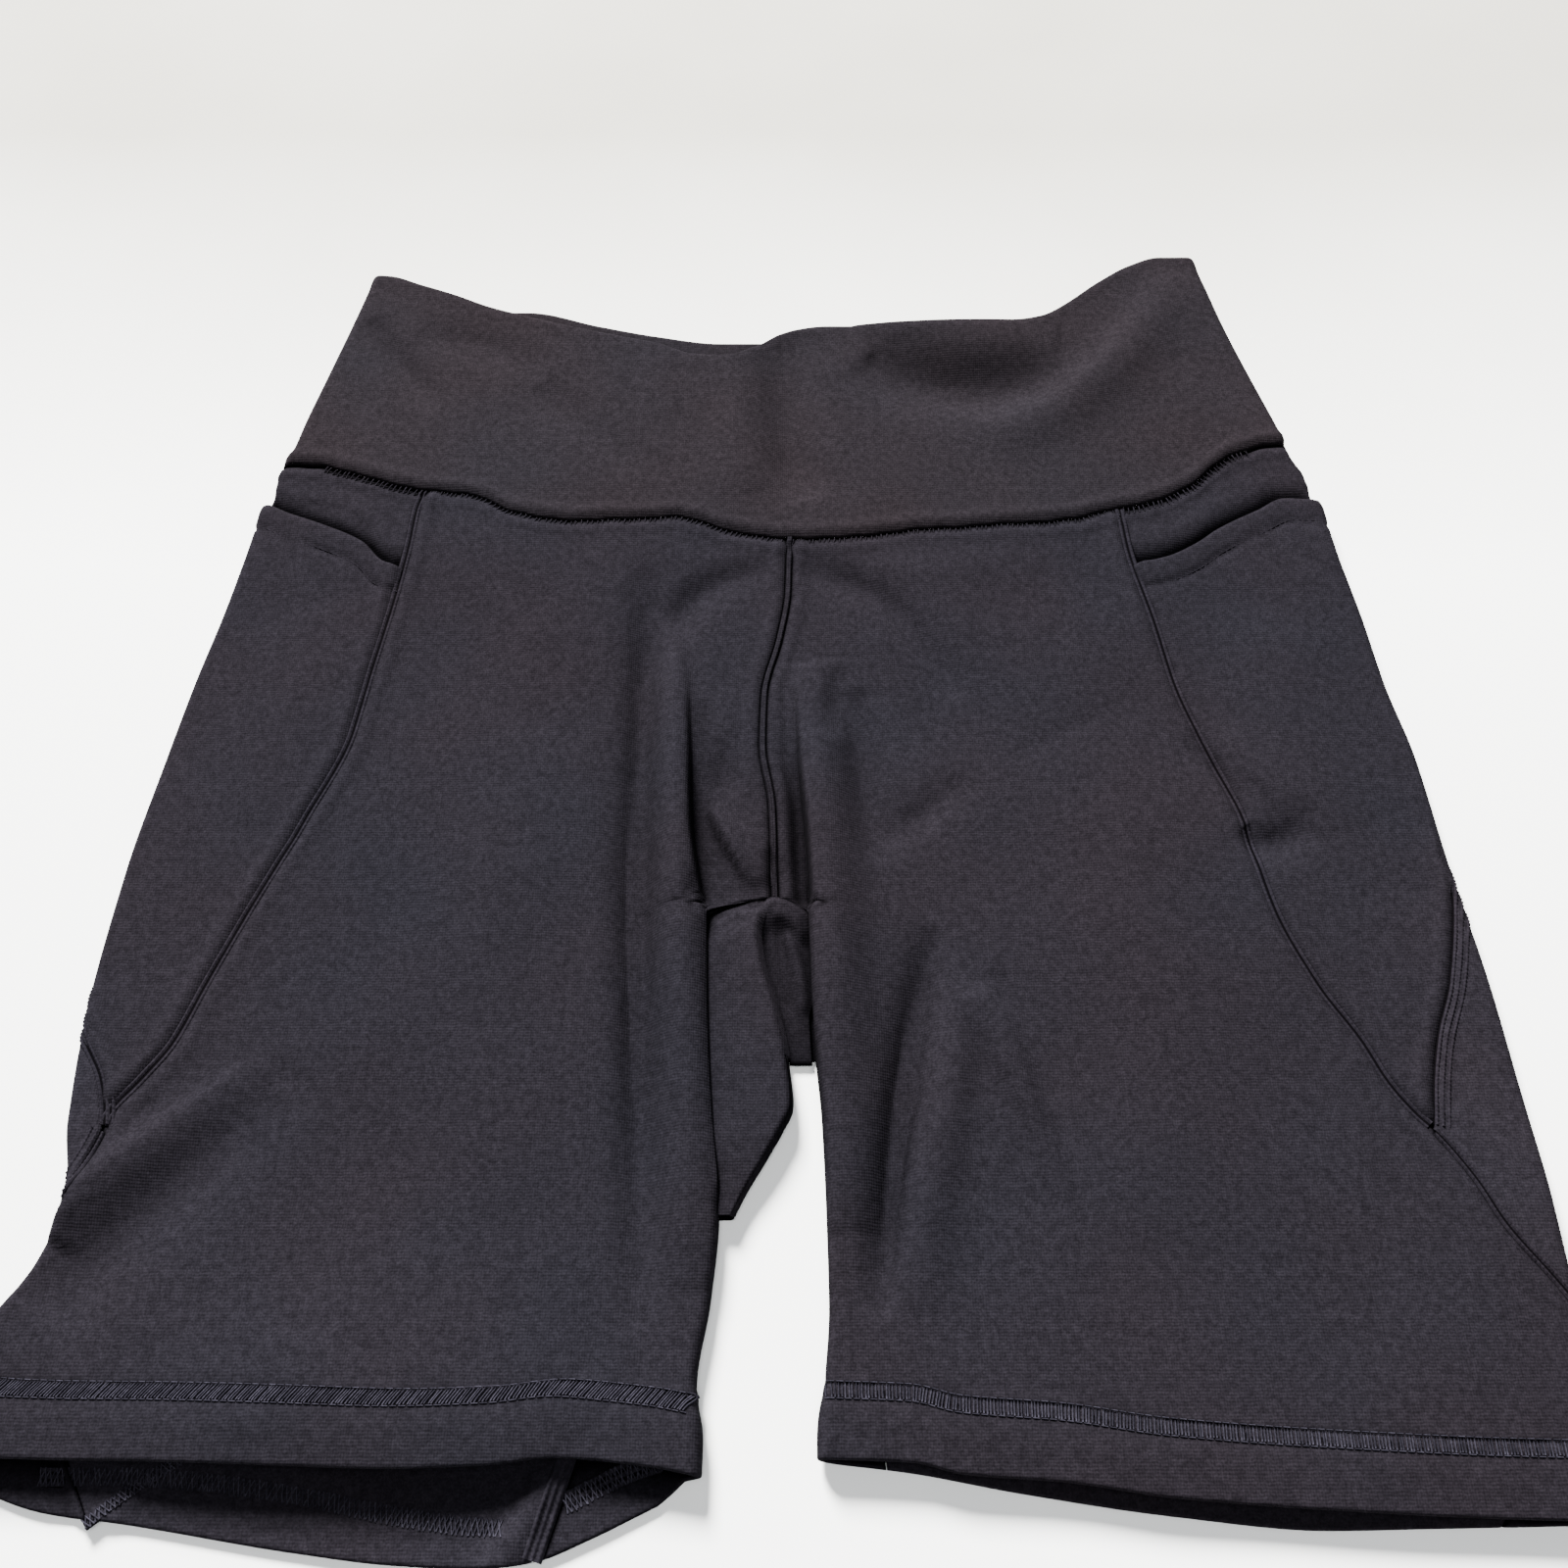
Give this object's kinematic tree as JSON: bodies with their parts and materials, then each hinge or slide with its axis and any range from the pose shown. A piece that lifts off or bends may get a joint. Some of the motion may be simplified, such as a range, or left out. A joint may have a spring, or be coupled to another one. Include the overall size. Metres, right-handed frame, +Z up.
{
  "type": "cycling shorts",
  "caption": "Black high-rise cycling shorts laid flat, front side up, with a wide waistband, side panels with pockets, a gusset and turned hems.",
  "frame": {"origin": "middle of the bounding box's underside, on the surface that the shorts lie on", "axes": "+X across the shorts to the viewer's right as the front is seen from above, +Y from the hems to the waist, +Z up"},
  "size_m": [0.4828, 0.5041, 0.013],
  "materials": {
    "knit": "matte fine stretch knit, near black with a slight purple tint",
    "band_knit": "matte fine stretch knit, doubled, near black with a slight brown tint",
    "pocket_knit": "matte fine stretch knit, near black",
    "thread": "soft textured overlock thread, dark lilac grey"
  },
  "bodies": {
    "root": {"waistband_front": "band_knit", "waistband_back": "band_knit", "front_panel_left": "knit", "front_panel_right": "knit", "side_panel_left": "knit", "side_panel_right": "knit", "pocket_left": "pocket_knit", "pocket_right": "pocket_knit", "back_panel_left": "knit", "back_panel_right": "knit", "gusset": "knit"}
  },
  "joints": []
}
